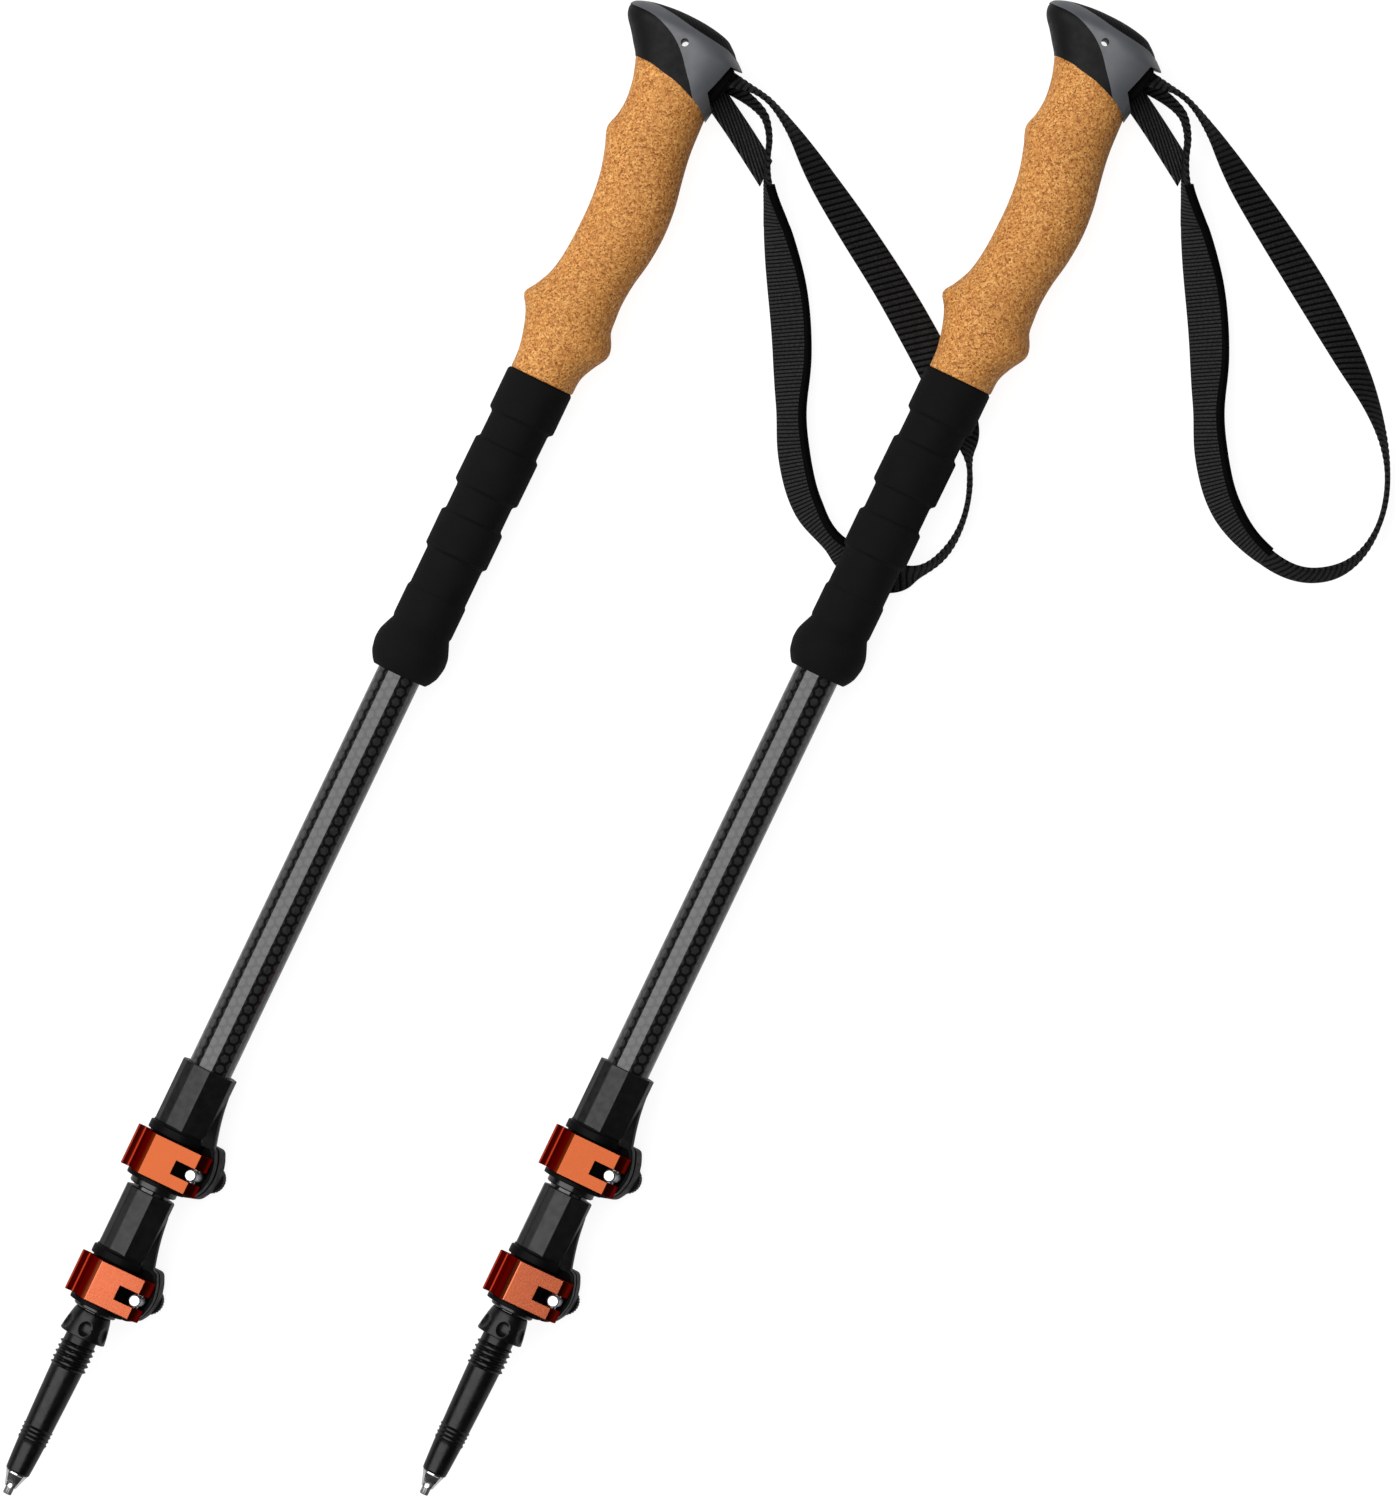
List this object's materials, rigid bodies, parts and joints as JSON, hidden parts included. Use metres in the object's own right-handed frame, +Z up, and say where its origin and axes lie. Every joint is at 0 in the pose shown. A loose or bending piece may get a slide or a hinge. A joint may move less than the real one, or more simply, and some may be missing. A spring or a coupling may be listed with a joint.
{
  "type": "trekking poles",
  "caption": "Pair of collapsed three-section trekking poles with cork and foam grips, wrist straps and lever clamps, lying side by side.",
  "frame": {"origin": "middle of the pair's footprint without the wrist straps, on the surface that the poles lie on", "axes": "+Y along both poles from tip to head, +X from the left pole to the right pole, +Z up"},
  "size_m": [0.3666, 0.7246, 0.0368],
  "materials": {
    "carbon": "glossy lacquered carbon fibre",
    "cork": "natural cork, fine grained, satin",
    "foam": "closed-cell foam, matt",
    "nose_plastic": "charcoal moulded, satin",
    "grey_shell": "grey moulded, satin",
    "pad_rubber": "soft textured rubber",
    "clamp_plastic": "dark moulded nylon, satin",
    "steel": "bright turned steel",
    "webbing": "woven polyester webbing",
    "lever_orange": "orange-red anodised, satin",
    "seal_rubber": "soft rubber, matt",
    "bush_plastic": "plain moulded acetal",
    "tip_plastic": "black moulded nylon, satin",
    "tip_metal": "turned steel with flutes",
    "carbide": "sintered tungsten carbide, grey"
  },
  "bodies": {
    "left_handle": {"left_upper_tube": "carbon", "left_cork_grip": "cork", "left_foam_grip": "foam", "left_head_nose": "nose_plastic", "left_head_shell": "grey_shell", "left_top_pad": "pad_rubber", "left_strap_wedge": "clamp_plastic", "left_strap_pin": "steel", "left_wrist_strap": "webbing", "left_strap_tail": "webbing", "left_upper_clamp_body": "clamp_plastic", "left_upper_clamp_bolt": "steel", "left_upper_clamp_pivot_pin": "steel", "left_upper_seal_ring": "seal_rubber"},
    "left_middle": {"left_middle_tube": "carbon", "left_middle_glide_bush": "bush_plastic", "left_lower_clamp_body": "clamp_plastic", "left_lower_clamp_bolt": "steel", "left_lower_clamp_pivot_pin": "steel", "left_lower_seal_ring": "seal_rubber"},
    "left_lower": {"left_lower_tube": "carbon", "left_lower_glide_bush": "bush_plastic", "left_tip_body": "tip_plastic", "left_tip_holder": "tip_metal", "left_carbide_tip": "carbide"},
    "left_upper_lever": {"left_upper_clamp_lever": "lever_orange"},
    "left_upper_nut": {"left_upper_clamp_nut": "clamp_plastic"},
    "left_lower_lever": {"left_lower_clamp_lever": "lever_orange"},
    "left_lower_nut": {"left_lower_clamp_nut": "clamp_plastic"},
    "right_handle": {"right_upper_tube": "carbon", "right_cork_grip": "cork", "right_foam_grip": "foam", "right_head_nose": "nose_plastic", "right_head_shell": "grey_shell", "right_top_pad": "pad_rubber", "right_strap_wedge": "clamp_plastic", "right_strap_pin": "steel", "right_wrist_strap": "webbing", "right_strap_tail": "webbing", "right_upper_clamp_body": "clamp_plastic", "right_upper_clamp_bolt": "steel", "right_upper_clamp_pivot_pin": "steel", "right_upper_seal_ring": "seal_rubber"},
    "right_middle": {"right_middle_tube": "carbon", "right_middle_glide_bush": "bush_plastic", "right_lower_clamp_body": "clamp_plastic", "right_lower_clamp_bolt": "steel", "right_lower_clamp_pivot_pin": "steel", "right_lower_seal_ring": "seal_rubber"},
    "right_lower": {"right_lower_tube": "carbon", "right_lower_glide_bush": "bush_plastic", "right_tip_body": "tip_plastic", "right_tip_holder": "tip_metal", "right_carbide_tip": "carbide"},
    "right_upper_lever": {"right_upper_clamp_lever": "lever_orange"},
    "right_upper_nut": {"right_upper_clamp_nut": "clamp_plastic"},
    "right_lower_lever": {"right_lower_clamp_lever": "lever_orange"},
    "right_lower_nut": {"right_lower_clamp_nut": "clamp_plastic"}
  },
  "joints": [
    {"name": "left_middle_slide", "type": "slide", "parent": "left_handle", "child": "left_middle", "axis": [0, -1, 0], "range_m": [0, 0.35]},
    {"name": "left_lower_slide", "type": "slide", "parent": "left_middle", "child": "left_lower", "axis": [0, -1, 0], "range_m": [0, 0.35]},
    {"name": "left_upper_lever_hinge", "type": "hinge", "parent": "left_handle", "child": "left_upper_lever", "pos_m": [-0.05861, -0.21377, 0.02888], "axis": [0, 1, 0], "range_deg": [0, 140]},
    {"name": "left_upper_nut_turn", "type": "hinge", "parent": "left_handle", "child": "left_upper_nut", "pos_m": [-0.05271, -0.21377, 0.0052], "axis": [-0.2419, 0, 0.9703], "range_deg": [-360, 360]},
    {"name": "left_lower_lever_hinge", "type": "hinge", "parent": "left_middle", "child": "left_lower_lever", "pos_m": [-0.05767, -0.26877, 0.02759], "axis": [0, 1, 0], "range_deg": [0, 140]},
    {"name": "left_lower_nut_turn", "type": "hinge", "parent": "left_middle", "child": "left_lower_nut", "pos_m": [-0.05406, -0.26877, 0.00345], "axis": [-0.1478, 0, 0.989], "range_deg": [-360, 360]},
    {"name": "right_middle_slide", "type": "slide", "parent": "right_handle", "child": "right_middle", "axis": [0, -1, 0], "range_m": [0, 0.35]},
    {"name": "right_lower_slide", "type": "slide", "parent": "right_middle", "child": "right_lower", "axis": [0, -1, 0], "range_m": [0, 0.35]},
    {"name": "right_upper_lever_hinge", "type": "hinge", "parent": "right_handle", "child": "right_upper_lever", "pos_m": [0.09209, -0.14142, 0.02888], "axis": [0, 1, 0], "range_deg": [0, 140]},
    {"name": "right_upper_nut_turn", "type": "hinge", "parent": "right_handle", "child": "right_upper_nut", "pos_m": [0.09799, -0.14142, 0.0052], "axis": [-0.2419, 0, 0.9703], "range_deg": [-360, 360]},
    {"name": "right_lower_lever_hinge", "type": "hinge", "parent": "right_middle", "child": "right_lower_lever", "pos_m": [0.09303, -0.19642, 0.02759], "axis": [0, 1, 0], "range_deg": [0, 140]},
    {"name": "right_lower_nut_turn", "type": "hinge", "parent": "right_middle", "child": "right_lower_nut", "pos_m": [0.09664, -0.19642, 0.00345], "axis": [-0.1478, 0, 0.989], "range_deg": [-360, 360]},
    {"name": "right_pole_lift", "type": "slide", "parent": "left_handle", "child": "right_handle", "axis": [0, 0, 1], "range_m": [0, 0.08]}
  ]
}
